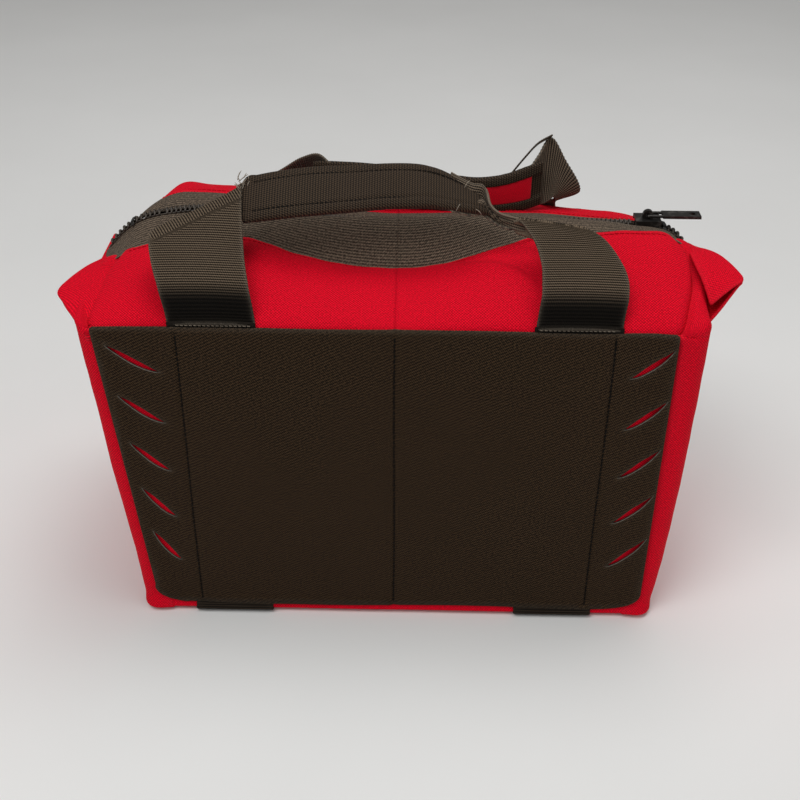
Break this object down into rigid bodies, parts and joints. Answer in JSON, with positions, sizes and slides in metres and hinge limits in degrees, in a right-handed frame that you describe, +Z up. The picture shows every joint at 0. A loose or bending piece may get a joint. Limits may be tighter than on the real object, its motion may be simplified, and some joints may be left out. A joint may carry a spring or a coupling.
{
  "type": "zip-top gear bag",
  "caption": "Soft box-shaped gear bag with a coil-zip top, two folded-webbing handles, cloth overlays with slits, and straps that run under the base.",
  "frame": {"origin": "centre of the base, on the floor", "axes": "+Z up, +X along the bag's length to the right, -Y towards the front"},
  "size_m": [0.41, 0.1952, 0.2919],
  "materials": {
    "red_fabric": "coated woven polyester, matte with a soft sheen",
    "dark_cloth": "heavy woven cloth, matte",
    "dark_webbing": "ribbed webbing, matte with a soft sheen",
    "binding": "binding tape, matte",
    "foam": "closed-cell foam, matte",
    "board": "textured plastic sheet",
    "zip_tape": "herringbone tape, matte",
    "zip_coil": "satin nylon coil",
    "zip_metal": "satin dark enamel"
  },
  "bodies": {
    "shell": {"bottom_panel": "red_fabric", "base_board": "board", "front_wall": "red_fabric", "rear_wall": "red_fabric", "front_foam": "foam", "rear_foam": "foam", "left_end_panel": "red_fabric", "right_end_panel": "red_fabric", "left_seam_binding": "binding", "right_seam_binding": "binding", "front_overlay": "dark_cloth", "rear_overlay": "dark_cloth", "left_girth_strap": "dark_webbing", "right_girth_strap": "dark_webbing", "left_top_end": "red_fabric", "right_top_end": "red_fabric", "left_ear": "red_fabric", "right_ear": "red_fabric", "left_zip_end": "zip_tape", "right_zip_end": "zip_tape", "left_zip_stop": "zip_metal", "right_zip_stop": "zip_metal"},
    "front_flap": {"front_top_panel": "red_fabric", "front_zip_tape": "zip_tape", "front_zip_coil": "zip_coil"},
    "rear_flap": {"rear_top_panel": "red_fabric", "rear_zip_tape": "zip_tape", "rear_zip_coil": "zip_coil"},
    "slider": {"zip_slider": "zip_metal"},
    "puller": {"zip_puller": "zip_metal"},
    "front_handle": {"front_left_strap": "dark_webbing", "front_right_strap": "dark_webbing", "front_grip": "dark_webbing", "front_grip_lining": "red_fabric"},
    "rear_handle": {"rear_left_strap": "dark_webbing", "rear_right_strap": "dark_webbing", "rear_grip": "dark_webbing", "rear_grip_lining": "red_fabric"}
  },
  "joints": [
    {"name": "front_mouth", "type": "hinge", "parent": "shell", "child": "front_flap", "pos_m": [0, -0.095, 0.22], "axis": [1, 0, 0], "range_deg": [0, 80]},
    {"name": "rear_mouth", "type": "hinge", "parent": "shell", "child": "rear_flap", "pos_m": [0, 0.095, 0.22], "axis": [-1, 0, 0], "range_deg": [0, 80]},
    {"name": "zip_slide", "type": "slide", "parent": "shell", "child": "slider", "axis": [1, 0, 0], "range_m": [-0.316, 0]},
    {"name": "puller_swing", "type": "hinge", "parent": "slider", "child": "puller", "pos_m": [0.158, 0, 0.2513], "axis": [0, -1, 0], "range_deg": [0, 180]},
    {"name": "front_handle_swing", "type": "hinge", "parent": "front_flap", "child": "front_handle", "pos_m": [0, -0.0965, 0.223], "axis": [1, 0, 0], "range_deg": [0, 130]},
    {"name": "rear_handle_swing", "type": "hinge", "parent": "rear_flap", "child": "rear_handle", "pos_m": [0, 0.0965, 0.223], "axis": [-1, 0, 0], "range_deg": [0, 130]}
  ]
}
